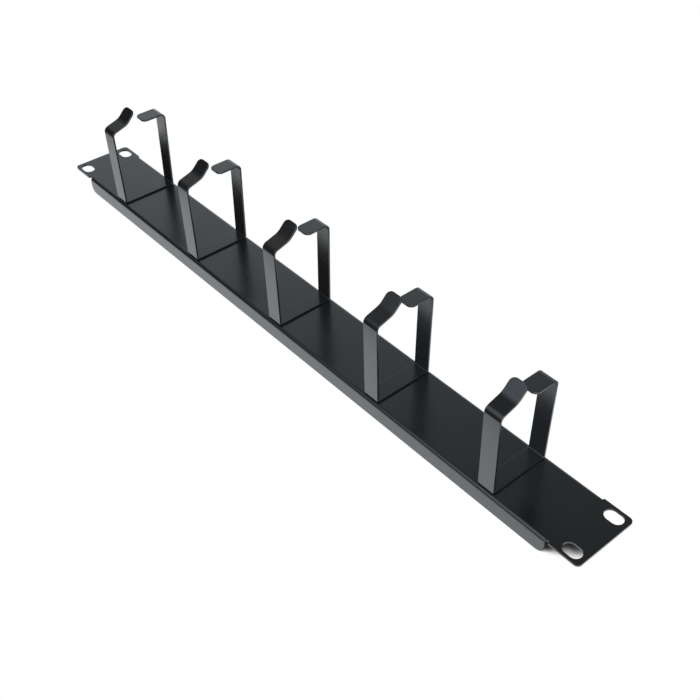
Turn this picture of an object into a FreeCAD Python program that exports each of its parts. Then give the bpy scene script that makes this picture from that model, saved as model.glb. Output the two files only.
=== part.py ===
import FreeCAD, Part
import os
import Sketcher
from math import cos, radians, sin
from FreeCAD import Vector

# Horizontal cable manager for a 19-inch rack, one unit high: a folded sheet panel with slotted
# ears, and five open rings of bent steel strap welded across its front face.
# X runs along the panel, Y across it and Z out of its front face, with Z = 0 on that face.

doc = FreeCAD.newDocument("cable_manager")

RING_COUNT = 5

# driving sizes: millimetres, and degrees for the leans and rises
SIZES = [
    ("slot_spacing", 465.1, "between slot centres along the rack's width"),
    ("slot_rise", 31.75, "between slot centres within one rack unit"),
    ("slot_length", 11.2, "end to end, along the panel"),
    ("slot_width", 7.8, "across the panel"),
    ("end_margin", 8.45, "slot centre to the end of the ear"),
    ("side_margin", 5.725, "slot centre to the long edge"),
    ("sheet", 1.2, "thickness of the panel's sheet"),
    ("ear_length", 21.8, "end of the panel to the end of a folded edge"),
    ("fold_depth", 10.9, "front face to the lip of a folded edge"),
    ("fold_radius", 1.0, "inside radius of the panel's folds"),
    ("lip_corner", 4.8, "rounding of a folded edge's lower corners"),
    ("notch_gap", 2.3, "between a folded edge's end and the ear"),
    ("notch_depth", 1.2, "long edge of the panel to the floor of a notch"),
    ("notch_corner", 1.1, "rounding of an ear's corners at the notches"),
    ("ear_corner", 2.8, "rounding of an ear's outer corners"),
    ("ring_inset", 41.4, "end of a folded edge to the middle of the outer ring"),
    ("ring_setback", 1.6, "long edge of the panel to the outside of a leg, at the panel"),
    ("ring_height", 56.9, "front face to the top of the retaining lip"),
    ("shoulder_height", 57.0, "front face to the crest of the tongue's first bend"),
    ("strap_width", 11.0, "of the rings, along the panel"),
    ("strap", 1.2, "thickness of the rings"),
    ("base_bend", 0.6, "inside radius between base and legs"),
    ("lip_bend", 2.5, "inside radius between far leg and lip"),
    ("shoulder_bend", 2.6, "inside radius between near leg and tongue"),
    ("flare_bend", 8.6, "radius of the tongue's upward sweep, on its upper face"),
    ("near_lean", 1.2, "outward lean of the near leg"),
    ("far_lean", 0.8, "outward lean of the far leg"),
    ("tongue_rise", 16.5, "slope of the tongue's first run"),
    ("flare_rise", 46.0, "slope of the tongue's end"),
    ("tongue_run", 7.1, "straight first run of the tongue"),
    ("flare_run", 7.5, "straight end of the tongue"),
    ("lip_run", 13.6, "straight run of the retaining lip"),
    ("end_corner", 3.5, "rounding of the two ends of a strap"),
]

sizes = doc.addObject("Spreadsheet::Sheet", "sizes")
for row, (alias, value, note) in enumerate(SIZES, 1):
    sizes.set(f"A{row}", alias)
    sizes.set(f"B{row}", str(value))
    sizes.set(f"C{row}", note)
    sizes.setAlias(f"B{row}", alias)
doc.recompute()

# lengths that follow from the driving sizes
PANEL_LENGTH = "(sizes.slot_spacing + 2 * sizes.end_margin)"
PANEL_WIDTH = "(sizes.slot_rise + 2 * sizes.side_margin)"
FOLD_LENGTH = f"({PANEL_LENGTH} - 2 * sizes.ear_length)"
RING_PITCH = f"({FOLD_LENGTH} - 2 * sizes.ring_inset) / {RING_COUNT - 1}"
RING_SPAN = f"({PANEL_WIDTH} - 2 * sizes.ring_setback)"

# a sketch's numbers for the ends of an edge and the centre of an arc
START, END, CENTRE = range(1, 4)
# a sketch's own X axis is its edge number -1, whose start is the origin
ORIGIN = (-START, START)


# ---------------------------------------------------------------- tools
def size(formula):
    """The value of a formula in the sheet's sizes."""
    return float(sizes.evalExpression(formula))


def new_body(label):
    body = doc.addObject("PartDesign::Body", label)
    body.Label = label
    return body


def sketch_on(body, role, name):
    """A sketch on one of the body's own origin planes."""
    plane = next(item for item in body.Origin.OriginFeatures if item.Role == role)
    sketch = body.newObject("Sketcher::SketchObject", name)
    sketch.AttachmentSupport = [(plane, "")]
    sketch.MapMode = "FlatFace"
    return sketch


def dimension(sketch, kind, where, formula):
    """A sketch dimension tied to the sheet; an angle's formula is in degrees."""
    value = size(formula)
    index = sketch.addConstraint(
        Sketcher.Constraint(kind, *where, radians(value) if kind == "Angle" else value)
    )
    sketch.setExpression(f"Constraints[{index}]", formula)


def fix_point(sketch, edge, end, across, up):
    """Hold an edge's end at a formula's distance to the right of the origin and above it."""
    for kind, formula in (("DistanceX", across), ("DistanceY", up)):
        if size(formula) < 0:
            dimension(sketch, kind, (edge, end, *ORIGIN), f"-({formula})")
        else:
            dimension(sketch, kind, (*ORIGIN, edge, end), formula)


def rectangle(sketch, left, bottom, width, height):
    """A rectangle from formulas: its lower left corner from the origin, its width and height."""
    x, y = size(left), size(bottom)
    w, d = size(width), size(height)
    corners = [Vector(x, y, 0), Vector(x + w, y, 0), Vector(x + w, y + d, 0), Vector(x, y + d, 0)]
    edges = [
        sketch.addGeometry(Part.LineSegment(start, end), False)
        for start, end in zip(corners, corners[1:] + corners[:1])
    ]
    for edge, following in zip(edges, edges[1:] + edges[:1]):
        sketch.addConstraint(Sketcher.Constraint("Coincident", edge, END, following, START))
    for edge, direction in zip(edges, ("Horizontal", "Vertical", "Horizontal", "Vertical")):
        sketch.addConstraint(Sketcher.Constraint(direction, edge))
    fix_point(sketch, edges[0], START, left, bottom)
    dimension(sketch, "DistanceX", (edges[0], START, edges[0], END), width)
    dimension(sketch, "DistanceY", (edges[1], START, edges[1], END), height)


def slot(sketch, right, up, length, width):
    """A round-ended slot along the sketch's X, from formulas for its centre and its size."""
    x, y = size(right), size(up)
    radius = size(width) / 2
    reach = size(length) / 2 - radius
    ends = [
        Part.ArcOfCircle(Part.Circle(Vector(x + reach, y, 0), Vector(0, 0, 1), radius),
                         radians(-90), radians(90)),
        Part.ArcOfCircle(Part.Circle(Vector(x - reach, y, 0), Vector(0, 0, 1), radius),
                         radians(90), radians(270)),
    ]
    right_arc, left_arc = [sketch.addGeometry(arc, False) for arc in ends]
    top = sketch.addGeometry(
        Part.LineSegment(Vector(x + reach, y + radius, 0), Vector(x - reach, y + radius, 0)), False)
    bottom = sketch.addGeometry(
        Part.LineSegment(Vector(x - reach, y - radius, 0), Vector(x + reach, y - radius, 0)), False)
    for joined in ((right_arc, END, top, START), (top, END, left_arc, START),
                   (left_arc, END, bottom, START), (bottom, END, right_arc, START)):
        sketch.addConstraint(Sketcher.Constraint("Tangent", *joined))
    sketch.addConstraint(Sketcher.Constraint("Horizontal", top))
    dimension(sketch, "Radius", (right_arc,), f"{width} / 2")
    dimension(sketch, "DistanceX", (left_arc, CENTRE, right_arc, CENTRE), f"{length} - {width}")
    fix_point(sketch, left_arc, CENTRE, f"{right} - ({length} - {width}) / 2", up)


def bent_path(sketch, height, heading, steps):
    """A tangent chain of runs and bends that starts on the sketch's Y axis at this height.

    A step is ("run", length) or ("bend", radius, new heading); headings are in degrees,
    counted anticlockwise from the sketch's X axis, and every entry is a formula.
    """
    here = Vector(0, size(height), 0)
    previous = None
    turned = size(heading)
    for step in steps:
        if step[0] == "run":
            direction = Vector(cos(radians(turned)), sin(radians(turned)), 0)
            there = here + direction * size(step[1])
            edge = sketch.addGeometry(Part.LineSegment(here, there), False)
            near_end, far_end = START, END
            dimension(sketch, "Distance", (edge,), step[1])
            dimension(sketch, "Angle", (edge,), heading)
        else:
            radius = size(step[1])
            heading = step[2]
            following = size(heading)
            left_turn = following > turned
            side = 90 if left_turn else -90
            toward = radians(turned + side)
            centre = here + Vector(cos(toward), sin(toward), 0) * radius
            away = radians(following - side)
            there = centre + Vector(cos(away), sin(away), 0) * radius
            angles = [radians(turned - side), away]
            circle = Part.Circle(centre, Vector(0, 0, 1), radius)
            edge = sketch.addGeometry(
                Part.ArcOfCircle(circle, *(angles if left_turn else angles[::-1])), False)
            near_end, far_end = (START, END) if left_turn else (END, START)
            dimension(sketch, "Radius", (edge,), step[1])
            turned = following
        if previous is None:
            fix_point(sketch, edge, near_end, "0", height)
        else:
            sketch.addConstraint(Sketcher.Constraint("Tangent", *previous, edge, near_end))
        previous = (edge, far_end)
        here = there


def folded_strip(body, name, width, thickness, below, heading, steps):
    """Sweep a strip of this width along a bent path in the body's YZ plane.

    The strip starts on the XZ plane, its thickness above the face plane or below it.
    """
    half = f"-{thickness} / 2" if below else f"{thickness} / 2"
    bottom = f"-{thickness}" if below else "0"
    section = sketch_on(body, "XZ_Plane", f"{name}_section")
    rectangle(section, f"-{width} / 2", bottom, width, thickness)
    path = sketch_on(body, "YZ_Plane", f"{name}_path")
    bent_path(path, half, heading, steps)
    doc.recompute()
    sweep = body.newObject("PartDesign::AdditivePipe", name)
    sweep.Profile = section
    sweep.Spine = path
    doc.recompute()
    return sweep


def round_edges(body, base, name, radius, chosen):
    """Round those edges of the base feature that the test picks."""
    names = [f"Edge{number}" for number, edge in enumerate(base.Shape.Edges, 1) if chosen(edge)]
    fillet = body.newObject("PartDesign::Fillet", name)
    fillet.Base = (base, names)
    fillet.setExpression("Radius", radius)
    doc.recompute()
    return fillet


def near_enough(first, second):
    return abs(first - second) < 0.001


def thickness_edge(edge, thickness, direction=None):
    """True for a straight edge through a sheet's thickness that runs along the direction."""
    if edge.Curve.TypeId != "Part::GeomLine" or not near_enough(edge.Length, thickness):
        return False
    along = edge.Curve.Direction
    if direction is None:
        return near_enough(along.x, 0)
    return near_enough(abs(along.dot(direction)), 1)


# ---------------------------------------------------------------- the panel
def clear_edges(body, name, length, depth):
    """Cut this length and depth from the middle of both long edges."""
    zone = sketch_on(body, "XY_Plane", f"{name}_zone")
    rectangle(zone, f"-{length} / 2", f"{PANEL_WIDTH} / 2 - {depth}", length, depth)
    doc.recompute()
    cut = body.newObject("PartDesign::Pocket", f"far_{name}")
    cut.Profile = zone
    cut.Type = "ThroughAll"
    cut.Midplane = True
    mirrored = body.newObject("PartDesign::Mirrored", f"near_{name}")
    mirrored.Originals = [cut]
    plane = next(item for item in body.Origin.OriginFeatures if item.Role == "XZ_Plane")
    mirrored.MirrorPlane = (plane, [""])
    body.Tip = mirrored
    doc.recompute()


def fold_edges(body):
    """The two long edges, folded back behind the face."""
    flat = f"{PANEL_WIDTH} / 2 - sizes.sheet - sizes.fold_radius"
    bend = "sizes.fold_radius + sizes.sheet / 2"
    drop = "sizes.fold_depth - sizes.sheet - sizes.fold_radius"
    for name, start, turns in (("far_fold", "0", "-90"), ("near_fold", "180", "270")):
        folded_strip(body, name, FOLD_LENGTH, "sizes.sheet", True, start,
                     [("run", flat), ("bend", bend, turns), ("run", drop)])


def cut_slots(body):
    """Four mounting slots, two in each ear."""
    outline = sketch_on(body, "XY_Plane", "slots")
    for side in ("-", ""):
        for level in ("-", ""):
            slot(outline, f"{side}sizes.slot_spacing / 2", f"{level}sizes.slot_rise / 2",
                 "sizes.slot_length", "sizes.slot_width")
    doc.recompute()
    cut = body.newObject("PartDesign::Pocket", "mounting_slots")
    cut.Profile = outline
    cut.Type = "ThroughAll"
    cut.Midplane = True
    doc.recompute()
    return cut


def make_panel():
    body = new_body("panel")
    blank = sketch_on(body, "XY_Plane", "blank")
    rectangle(blank, f"-{PANEL_LENGTH} / 2", f"-{PANEL_WIDTH} / 2", PANEL_LENGTH, PANEL_WIDTH)
    doc.recompute()
    face = body.newObject("PartDesign::Pad", "face")
    face.Profile = blank
    face.setExpression("Length", "sizes.sheet")
    face.Reversed = True
    doc.recompute()
    clear_edges(body, "notches", f"({FOLD_LENGTH} + 2 * sizes.notch_gap)", "sizes.notch_depth")
    clear_edges(body, "bends", FOLD_LENGTH, "(sizes.sheet + sizes.fold_radius)")
    fold_edges(body)
    slotted = cut_slots(body)

    sheet = size("sizes.sheet")
    ear_end = size(f"{PANEL_LENGTH} / 2")
    ear_start = size(f"{FOLD_LENGTH} / 2 + sizes.notch_gap")
    edge_line = size(f"{PANEL_WIDTH} / 2")
    lip = -size("sizes.fold_depth")
    upright, across = Vector(0, 0, 1), Vector(0, 1, 0)
    ears = round_edges(
        body, slotted, "ear_corners", "sizes.ear_corner",
        lambda edge: thickness_edge(edge, sheet, upright)
        and near_enough(abs(edge.CenterOfMass.x), ear_end))
    notches = round_edges(
        body, ears, "notch_corners", "sizes.notch_corner",
        lambda edge: thickness_edge(edge, sheet, upright)
        and near_enough(abs(edge.CenterOfMass.x), ear_start)
        and near_enough(abs(edge.CenterOfMass.y), edge_line))
    round_edges(
        body, notches, "lip_corners", "sizes.lip_corner",
        lambda edge: thickness_edge(edge, sheet, across)
        and near_enough(edge.CenterOfMass.z, lip))
    return body


# ---------------------------------------------------------------- the rings
def make_ring(number):
    """One ring: a strap bent up from its base into a tongue on one side and a lip on the other."""
    body = new_body(f"cable_ring_{number}")
    width, strap = "sizes.strap_width", "sizes.strap"
    base_run = f"{RING_SPAN} / 2 - sizes.strap - sizes.base_bend"
    base_turn = "sizes.base_bend + sizes.strap / 2"
    near_rise = "sizes.shoulder_height - 2 * sizes.strap - sizes.base_bend - sizes.shoulder_bend"
    far_rise = "sizes.ring_height - 2 * sizes.strap - sizes.base_bend - sizes.lip_bend"
    folded_strip(body, f"near_side_{number}", width, strap, False, "180", [
        ("run", base_run),
        ("bend", base_turn, "90 + sizes.near_lean"),
        ("run", near_rise),
        ("bend", "sizes.shoulder_bend + sizes.strap / 2", "sizes.tongue_rise"),
        ("run", "sizes.tongue_run"),
        ("bend", "sizes.flare_bend + sizes.strap / 2", "sizes.flare_rise"),
        ("run", "sizes.flare_run"),
    ])
    whole = folded_strip(body, f"far_side_{number}", width, strap, False, "0", [
        ("run", base_run),
        ("bend", base_turn, "90 - sizes.far_lean"),
        ("run", far_rise),
        ("bend", "sizes.lip_bend + sizes.strap / 2", "180"),
        ("run", "sizes.lip_run"),
    ])
    thickness = size("sizes.strap")
    round_edges(body, whole, f"end_corners_{number}", "sizes.end_corner",
                lambda edge: thickness_edge(edge, thickness))
    place = number - (RING_COUNT + 1) / 2
    body.setExpression("Placement.Base.x", f"{place} * {RING_PITCH}")
    return body


# ---------------------------------------------------------------- build, check and export
pieces = [make_panel()] + [make_ring(number) for number in range(1, RING_COUNT + 1)]
doc.recompute()

for item in doc.Objects:
    if {"Invalid", "Error"} & set(item.State):
        raise RuntimeError(f"{item.Label} does not compute: {item.State}")

os.makedirs("parts", exist_ok=True)
for piece in pieces:
    if piece.Shape.isNull() or not piece.Shape.isValid() or len(piece.Shape.Solids) != 1:
        raise RuntimeError(f"{piece.Label} is not one sound solid")
    piece.Shape.exportStep(f"parts/{piece.Label}.step")
    box = piece.Shape.BoundBox
    print(f"{piece.Label}: {box.XLength:.2f} x {box.YLength:.2f} x {box.ZLength:.2f} mm,"
          f" z from {box.ZMin:.2f}, volume {piece.Shape.Volume:.0f}")
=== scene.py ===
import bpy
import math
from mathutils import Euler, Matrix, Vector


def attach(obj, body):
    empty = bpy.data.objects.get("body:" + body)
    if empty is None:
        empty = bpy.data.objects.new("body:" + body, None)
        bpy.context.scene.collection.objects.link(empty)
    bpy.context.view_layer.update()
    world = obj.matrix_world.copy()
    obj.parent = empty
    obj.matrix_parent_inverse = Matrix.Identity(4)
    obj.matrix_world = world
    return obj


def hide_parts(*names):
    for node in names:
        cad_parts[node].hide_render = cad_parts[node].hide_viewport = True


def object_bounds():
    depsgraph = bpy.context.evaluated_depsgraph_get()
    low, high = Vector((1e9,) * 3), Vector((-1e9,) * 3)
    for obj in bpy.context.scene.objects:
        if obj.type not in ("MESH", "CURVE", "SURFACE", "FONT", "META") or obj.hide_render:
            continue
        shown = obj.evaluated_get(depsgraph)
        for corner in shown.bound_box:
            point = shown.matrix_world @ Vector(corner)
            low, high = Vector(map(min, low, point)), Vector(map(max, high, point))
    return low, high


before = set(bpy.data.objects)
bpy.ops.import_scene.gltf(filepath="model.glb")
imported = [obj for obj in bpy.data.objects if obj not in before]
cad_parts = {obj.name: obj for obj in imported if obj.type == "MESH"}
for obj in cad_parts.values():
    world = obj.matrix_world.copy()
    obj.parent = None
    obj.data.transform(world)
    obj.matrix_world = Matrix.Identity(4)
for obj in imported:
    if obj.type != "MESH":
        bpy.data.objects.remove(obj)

# Horizontal cable manager: a folded steel rack panel with five strap rings, all in satin black
# powder coat. The CAD frame gives every place and size. Here the cut edges are rounded, the steel
# is coated, and the studio is set.

scene = bpy.context.scene
cadLow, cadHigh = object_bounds()
floorLevel = cadLow.z
mmPerMetre = 1000


def hexToLinear(code):
    # sRGB hex to the linear colour that shaders use
    channels = []
    for start in (0, 2, 4):
        value = int(code.lstrip("#")[start:start + 2], 16) / 255
        channels.append(value / 12.92 if value <= 0.04045 else ((value + 0.055) / 1.055) ** 2.4)
    return (*channels, 1.0)


def addNode(tree, kind, settings=None, links=None):
    # settings: socket name or number, or a property of the node
    # links: input socket -> (node, output socket)
    node = tree.nodes.new(kind)
    for name, value in (settings or {}).items():
        if isinstance(name, int) or name in node.inputs:
            node.inputs[name].default_value = value
        else:
            setattr(node, name, value)
    for name, (source, output) in (links or {}).items():
        tree.links.new(source.outputs[output], node.inputs[name])
    return node


def newTree(owner):
    owner.use_nodes = True
    owner.node_tree.nodes.clear()
    return owner.node_tree


def pickOnly(piece):
    # the one object that the next operators act on
    bpy.ops.object.select_all(action="DESELECT")
    piece.select_set(True)
    bpy.context.view_layer.objects.active = piece


# Polyester powder, sprayed on dry and baked: an even satin skin with a faint orange peel, which
# softens what it mirrors and leaves wide, pale highlights on black.
powderCoat = {
    "slot": "powder_coat",
    "black": "#08090a",          # carbon black, so dark that the gloss makes the shape
    "blackThin": "#0c0d0e",      # where the coat lies a little thinner
    "ior": 1.5,                  # polyester resin
    "roughness": (0.24, 0.31),
    "skin": 1.0,                 # resin-rich skin that forms as the powder flows out
    "skinRoughness": 0.19,
    "skinIor": 1.5,
    "cloudSize": 45.0,           # mm, slow drift of the gloss and the colour
    "cloudNoise": (3.0, 0.55),   # detail and roughness of the pattern, as for the next two
    "cloudSpan": (0.3, 0.7),     # values of the pattern between which the gloss drifts
    "peelSize": 1.6,             # mm between the swells of the orange peel
    "peelNoise": (1.5, 0.5),
    "peelDepth": 0.004,          # mm
    "grainSize": 0.35,           # mm, grain of the cured powder, drawn coarser than it is to show
    "grainNoise": (2.0, 0.6),
    "grainDepth": 0.0012,        # mm
}


def makePowderCoat(settings):
    material = bpy.data.materials.new("satinBlackPowderCoat")
    tree = newTree(material)
    place = addNode(tree, "ShaderNodeTexCoord")
    patterns = []
    for name in ("cloud", "peel", "grain"):
        detail, roughness = settings[name + "Noise"]
        patterns.append(addNode(tree, "ShaderNodeTexNoise",
                                {"Scale": mmPerMetre / settings[name + "Size"],
                                 "Detail": detail, "Roughness": roughness},
                                {"Vector": (place, "Object")}))
    cloud, peel, grain = patterns
    colour = addNode(tree, "ShaderNodeMix",
                     {"data_type": "RGBA", 6: hexToLinear(settings["black"]),
                      7: hexToLinear(settings["blackThin"])},
                     {0: (cloud, "Fac")})
    least, most = settings["cloudSpan"]
    low, high = settings["roughness"]
    gloss = addNode(tree, "ShaderNodeMapRange",
                    {"From Min": least, "From Max": most, "To Min": low, "To Max": high},
                    {"Value": (cloud, "Fac")})
    swell = addNode(tree, "ShaderNodeBump",
                    {"Strength": 1.0, "Distance": settings["peelDepth"] / mmPerMetre},
                    {"Height": (peel, "Fac")})
    texture = addNode(tree, "ShaderNodeBump",
                      {"Strength": 1.0, "Distance": settings["grainDepth"] / mmPerMetre},
                      {"Height": (grain, "Fac"), "Normal": (swell, "Normal")})
    coat = addNode(tree, "ShaderNodeBsdfPrincipled",
                   {"IOR": settings["ior"], "Coat Weight": settings["skin"],
                    "Coat Roughness": settings["skinRoughness"], "Coat IOR": settings["skinIor"]},
                   {"Base Color": (colour, 2), "Roughness": (gloss, "Result"),
                    "Normal": (texture, "Normal"), "Coat Normal": (texture, "Normal")})
    addNode(tree, "ShaderNodeOutputMaterial", links={"Surface": (coat, "BSDF")})
    return material


coatMaterial = makePowderCoat(powderCoat)
print("powder coat mixed")


edgeFinish = {
    "weld": 0.00001,      # m, the CAD's loose triangles join within this
    "flatTo": 0.6,        # degrees, faces this close to flat become one
    "sharpFrom": 35.0,    # degrees, an edge turned more than this was cut by the press
    "round": 0.00022,     # m, radius that the coat leaves on a cut edge
    "steps": 3,
    "flatWeight": 50,     # how much the large flat faces lead the shading of the small ones
}


def coatPiece(nodeName, pieceName, settings):
    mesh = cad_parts[nodeName].data.copy()
    piece = bpy.data.objects.new(pieceName, mesh)
    scene.collection.objects.link(piece)
    mesh.materials.clear()
    mesh.materials.append(coatMaterial)
    pickOnly(piece)
    bpy.ops.object.mode_set(mode="EDIT")
    bpy.ops.mesh.select_all(action="SELECT")
    bpy.ops.mesh.remove_doubles(threshold=settings["weld"])
    bpy.ops.mesh.customdata_custom_splitnormals_clear()
    bpy.ops.mesh.dissolve_limited(angle_limit=math.radians(settings["flatTo"]))
    bpy.ops.object.mode_set(mode="OBJECT")
    bevel = piece.modifiers.new("cutEdges", "BEVEL")
    bevel.limit_method = "ANGLE"
    bevel.angle_limit = math.radians(settings["sharpFrom"])
    bevel.width = settings["round"]
    bevel.segments = settings["steps"]
    bevel.miter_outer = "MITER_ARC"
    bpy.ops.object.modifier_apply(modifier=bevel.name)
    bpy.ops.object.shade_smooth_by_angle(angle=math.radians(settings["sharpFrom"]))
    weighted = piece.modifiers.new("flatFaces", "WEIGHTED_NORMAL")
    weighted.keep_sharp = True
    weighted.weight = settings["flatWeight"]
    bpy.ops.object.modifier_apply(modifier=weighted.name)
    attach(piece, "root")
    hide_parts(nodeName)
    print("coated", pieceName, "with", len(mesh.polygons), "faces")


for nodeName in sorted(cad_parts):
    coatPiece(nodeName, nodeName + "_coated", edgeFinish)


studio = {
    "floorSize": 12.0,            # m across
    "floorSides": 96,
    "floorColour": "#e6e6e6",     # as it lights the object by bounced light
    "floorWhite": "#ffffff",      # as the camera sees it
    "floorCool": "#f1f9fd",       # painted cool tint, seen only in the coat's reflections of the floor
    "shadeReach": 0.05,           # m, how far the painted shadow of the object reaches on the floor
    "shadeSamples": 32,
    "shadeRange": (0.23, 0.40),   # share of open sky, from full shade to plain white
    "shadeDark": 0.02,            # brightness left in full shade
    "mirroredShadeEdge": (0.060, 0.090),  # m from the panel's middle line, where the painted shade in the floor's reflections begins and ends
    "mirroredShadeDim": 0.12,             # its brightness past that, in reflections only
    "mirroredShadeRun": (-0.27, 0.05),    # m along the panel, where that painted shade lifts to full brightness
    "mirroredShadeFar": 0.87,             # its brightness at the far end
    "sky": ("#f4f2f0", 0.05),     # dim room all round
    # where it is, strength, cosine at which it starts, power at which it rises, colour
    "glows": [
        ((-0.715, 0.667, 0.208), 1.04, 0.30, 5.0, "#e4eff8"),  # low wall beyond the far end
        ((0.332, -0.624, 0.707), 3.2, 0.45, 1.5, "#dfebfa"),   # large softbox on the tongues' side
        ((-0.719, 0.025, 0.695), 0.22, 0.90, 1.5, "#f4f2f0"),  # small card over the far end
        ((0.900, 0.250, 0.350), 0.35, 0.20, 2.0, "#f4f2f0"),   # pale wall beyond the near end
    ],
    # name, place (m), aimed at (m), size (m), power (W), colour
    "lamps": [
        ("cameraFill", (1.2, -0.7, 1.6), (0.0, 0.0, 0.0), 1.2, 7.0, "#ffffff"),
    ],
}


def makeFloor(settings):
    bpy.ops.object.select_all(action="DESELECT")
    bpy.ops.mesh.primitive_circle_add(vertices=settings["floorSides"],
                                      radius=settings["floorSize"] / 2, fill_type="NGON",
                                      location=(0, 0, floorLevel))
    floor = bpy.context.active_object
    floor.name = "studioFloor"
    bpy.ops.object.transform_apply(location=True, rotation=True, scale=True)
    material = bpy.data.materials.new("matteWhiteFloor")
    tree = newTree(material)
    ray = addNode(tree, "ShaderNodeLightPath")
    mirrored = addNode(tree, "ShaderNodeMath", {"operation": "MAXIMUM"},
                       {0: (ray, "Is Glossy Ray"), 1: (ray, "Is Transmission Ray")})
    seen = addNode(tree, "ShaderNodeMath", {"operation": "MAXIMUM"},
                   {0: (ray, "Is Camera Ray"), 1: (mirrored, 0)})
    # painted shadow of the object: the floor's glow dims with ambient occlusion, so open floor is
    # plain white and floor under the steel panel goes dark
    shade = addNode(tree, "ShaderNodeAmbientOcclusion",
                    {"Distance": settings["shadeReach"], "samples": settings["shadeSamples"]})
    dark, bright = settings["shadeRange"]
    lit = addNode(tree, "ShaderNodeMapRange",
                  {"From Min": dark, "From Max": bright, "To Min": settings["shadeDark"],
                   "To Max": 1.0, "interpolation_type": "SMOOTHSTEP"},
                  {"Value": (shade, "AO")})
    # painted tint in reflections: the floor looks cool only where the coat mirrors it
    tint = addNode(tree, "ShaderNodeMix",
                   {"data_type": "RGBA", 6: hexToLinear(settings["floorWhite"]),
                    7: hexToLinear(settings["floorCool"])},
                   {0: (mirrored, 0)})
    # painted shade in reflections: for mirrored rays only, the floor's glow fades away from the
    # panel's middle line and towards the far end, so bends darken where they face past it
    place = addNode(tree, "ShaderNodeTexCoord")
    axes = addNode(tree, "ShaderNodeSeparateXYZ", links={0: (place, "Object")})
    away = addNode(tree, "ShaderNodeMath", {"operation": "ABSOLUTE"}, {0: (axes, "Y")})
    begin, end = settings["mirroredShadeEdge"]
    shadeAcross = addNode(tree, "ShaderNodeMapRange",
                    {"From Min": begin, "From Max": end, "To Min": 1.0,
                     "To Max": settings["mirroredShadeDim"], "interpolation_type": "SMOOTHSTEP"},
                    {"Value": (away, 0)})
    begin, end = settings["mirroredShadeRun"]
    run = addNode(tree, "ShaderNodeMapRange",
                  {"From Min": begin, "From Max": end, "To Min": settings["mirroredShadeFar"],
                   "To Max": 1.0},
                  {"Value": (axes, "X")})
    mirroredShade = addNode(tree, "ShaderNodeMath", {"operation": "MULTIPLY"},
                    {0: (shadeAcross, "Result"), 1: (run, "Result")})
    dimmed = addNode(tree, "ShaderNodeMix", {"data_type": "FLOAT", 2: 1.0},
                     {0: (mirrored, 0), 3: (mirroredShade, 0)})
    strength = addNode(tree, "ShaderNodeMath", {"operation": "MULTIPLY"},
                       {0: (lit, "Result"), 1: (dimmed, 0)})
    matte = addNode(tree, "ShaderNodeBsdfDiffuse", {"Color": hexToLinear(settings["floorColour"])})
    glow = addNode(tree, "ShaderNodeEmission",
                   links={"Color": (tint, 2), "Strength": (strength, 0)})
    both = addNode(tree, "ShaderNodeMixShader",
                   links={0: (seen, 0), 1: (matte, 0), 2: (glow, 0)})
    addNode(tree, "ShaderNodeOutputMaterial", links={"Surface": (both, 0)})
    floor.data.materials.append(material)


def makeWorld(settings):
    world = bpy.data.worlds.new("softStudio")
    scene.world = world
    tree = newTree(world)
    ray = addNode(tree, "ShaderNodeLightPath")
    direction = addNode(tree, "ShaderNodeTexCoord")
    colour, strength = settings["sky"]
    surround = addNode(tree, "ShaderNodeBackground",
                       {"Color": hexToLinear(colour), "Strength": strength})
    for toward, strength, start, power, colour in settings["glows"]:
        facing = addNode(tree, "ShaderNodeVectorMath", {"operation": "DOT_PRODUCT", 1: toward},
                         {0: (direction, "Generated")})
        share = addNode(tree, "ShaderNodeMapRange",
                        {"From Min": start, "From Max": 1.0, "To Min": 0.0, "To Max": 1.0},
                        {"Value": (facing, "Value")})
        falloff = addNode(tree, "ShaderNodeMath", {"operation": "POWER", 1: power},
                          {0: (share, "Result")})
        bright = addNode(tree, "ShaderNodeMath", {"operation": "MULTIPLY", 1: strength},
                         {0: (falloff, 0)})
        glow = addNode(tree, "ShaderNodeBackground", {"Color": hexToLinear(colour)},
                       {"Strength": (bright, 0)})
        surround = addNode(tree, "ShaderNodeAddShader", links={0: (surround, 0), 1: (glow, 0)})
    white = addNode(tree, "ShaderNodeBackground", {"Color": (1.0, 1.0, 1.0, 1.0), "Strength": 1.0})
    both = addNode(tree, "ShaderNodeMixShader",
                   links={0: (ray, "Is Camera Ray"), 1: (surround, 0), 2: (white, 0)})
    addNode(tree, "ShaderNodeOutputWorld", links={"Surface": (both, 0)})


def makeLamps(settings):
    for name, place, aim, size, power, colour in settings["lamps"]:
        turn = (Vector(aim) - Vector(place)).to_track_quat("-Z", "Y").to_euler()
        bpy.ops.object.light_add(type="AREA", location=place, rotation=turn)
        lamp = bpy.context.active_object
        lamp.name = name
        lamp.data.shape = "SQUARE"
        lamp.data.size = size
        lamp.data.energy = power
        lamp.data.color = hexToLinear(colour)[:3]


makeFloor(studio)
makeWorld(studio)
makeLamps(studio)
print("studio set")


cameraSetup = {
    "place": (0.40439, -0.30056, 0.41065),   # m
    "turn": (48.471, 0.509, 49.453),         # degrees
    "lens": 53.69,                           # mm
    "sensor": 36.0,                          # mm
    "seesFrom": 0.01,                        # m, nearer things are cut off
}

bpy.ops.object.camera_add(location=cameraSetup["place"],
                          rotation=Euler([math.radians(a) for a in cameraSetup["turn"]]))
camera = bpy.context.active_object
camera.name = "productCamera"
camera.data.lens = cameraSetup["lens"]
camera.data.sensor_width = cameraSetup["sensor"]
camera.data.clip_start = cameraSetup["seesFrom"]
scene.camera = camera
scene.view_settings.view_transform = "Standard"
print("camera placed")

bpy.context.view_layer.update()
print("finished")
